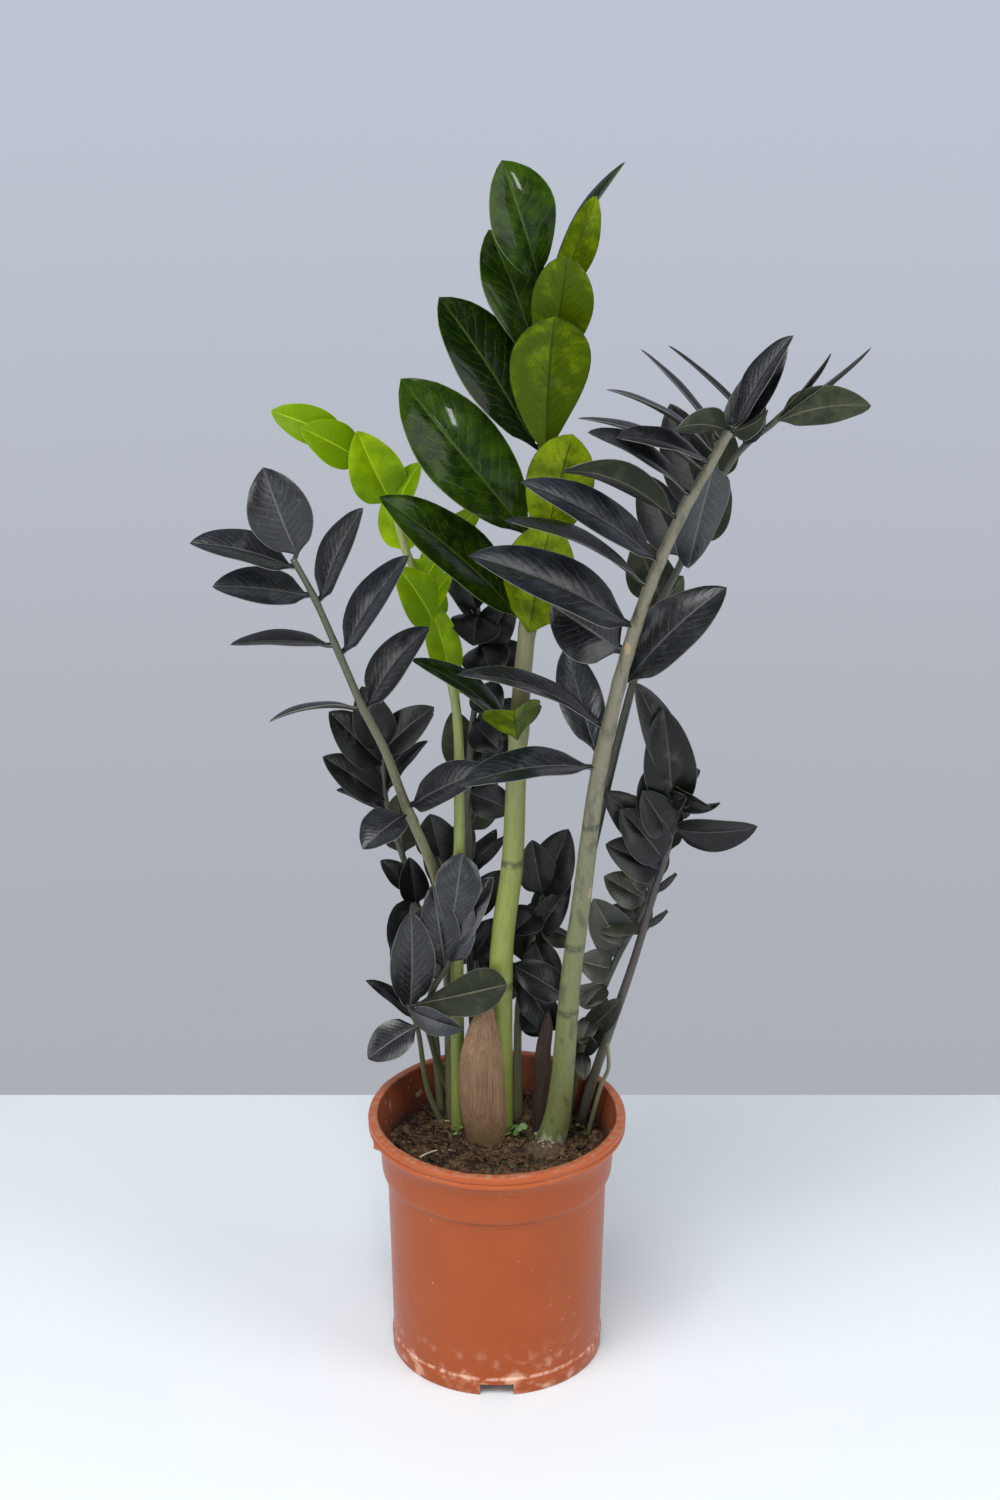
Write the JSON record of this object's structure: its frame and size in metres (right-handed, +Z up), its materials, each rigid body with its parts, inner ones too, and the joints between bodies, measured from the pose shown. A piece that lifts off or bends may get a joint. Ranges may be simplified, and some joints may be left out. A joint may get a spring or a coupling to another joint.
{
  "type": "potted zz plant",
  "caption": "Zz plant with near-black leaflets on arching stems, a lime-green new shoot and peat soil, in a round terracotta-coloured nursery pot",
  "frame": {"origin": "on the ground, under the middle of the whole plant's bounding box; the pot's own axis is 25 mm towards -X and 5 mm towards -Y from it", "axes": "+Z up, +X to the right and +Y to the back as the plant is seen from its front"},
  "size_m": [0.4137, 0.2149, 0.8239],
  "materials": {
    "pot_plastic": "satin",
    "soil_peat": "matte",
    "dried_sheath": "matte",
    "dark_sheath": "matte",
    "green_stem": "satin",
    "grey_stem": "satin",
    "slim_stem": "satin",
    "green_leaf": "gloss",
    "black_leaf": "satin",
    "dark_shoot": "satin",
    "lime_shoot": "satin",
    "olive_shoot": "satin",
    "pale_stem": "satin"
  },
  "bodies": {
    "root": {"pot": "pot_plastic", "soil": "soil_peat", "sheath_brown": "dried_sheath", "sheath_dark": "dark_sheath", "stem_green": "green_stem", "leaf_green_01": "green_leaf", "leaf_green_02": "green_leaf", "leaf_green_03": "green_leaf", "leaf_green_04": "green_leaf", "leaf_green_05": "green_leaf", "leaf_green_06": "green_leaf", "leaf_green_07": "green_leaf", "leaf_green_08": "green_leaf", "leaf_green_09": "green_leaf", "leaf_green_10": "green_leaf", "leaf_green_11": "green_leaf", "leaf_green_12": "green_leaf", "leaf_green_13": "green_leaf", "stem_right": "grey_stem", "leaf_right_01": "black_leaf", "leaf_right_02": "black_leaf", "leaf_right_03": "black_leaf", "leaf_right_04": "black_leaf", "leaf_right_05": "black_leaf", "leaf_right_06": "black_leaf", "leaf_right_07": "black_leaf", "leaf_right_08": "black_leaf", "leaf_right_09": "black_leaf", "leaf_right_10": "black_leaf", "leaf_right_11": "black_leaf", "leaf_right_12": "black_leaf", "leaf_right_13": "black_leaf", "leaf_right_14": "black_leaf", "leaf_right_15": "black_leaf", "leaf_right_16": "black_leaf", "leaf_right_17": "black_leaf", "leaf_right_18": "black_leaf", "leaf_right_19": "black_leaf", "stem_left": "slim_stem", "leaf_left_01": "black_leaf", "leaf_left_02": "black_leaf", "leaf_left_03": "black_leaf", "leaf_left_04": "black_leaf", "leaf_left_05": "black_leaf", "leaf_left_06": "black_leaf", "leaf_left_07": "black_leaf", "leaf_left_08": "black_leaf", "leaf_left_09": "black_leaf", "leaf_left_10": "black_leaf", "shoot_behind_left": "dark_shoot", "shoot_middle": "dark_shoot", "shoot_behind_right": "dark_shoot", "shoot_purple": "dark_shoot", "shoot_centre": "dark_shoot", "shoot_front_left": "dark_shoot", "shoot_front_middle": "dark_shoot", "shoot_back_left": "dark_shoot", "shoot_lime": "lime_shoot", "shoot_olive": "olive_shoot", "shoot_thin": "pale_stem"}
  },
  "joints": []
}
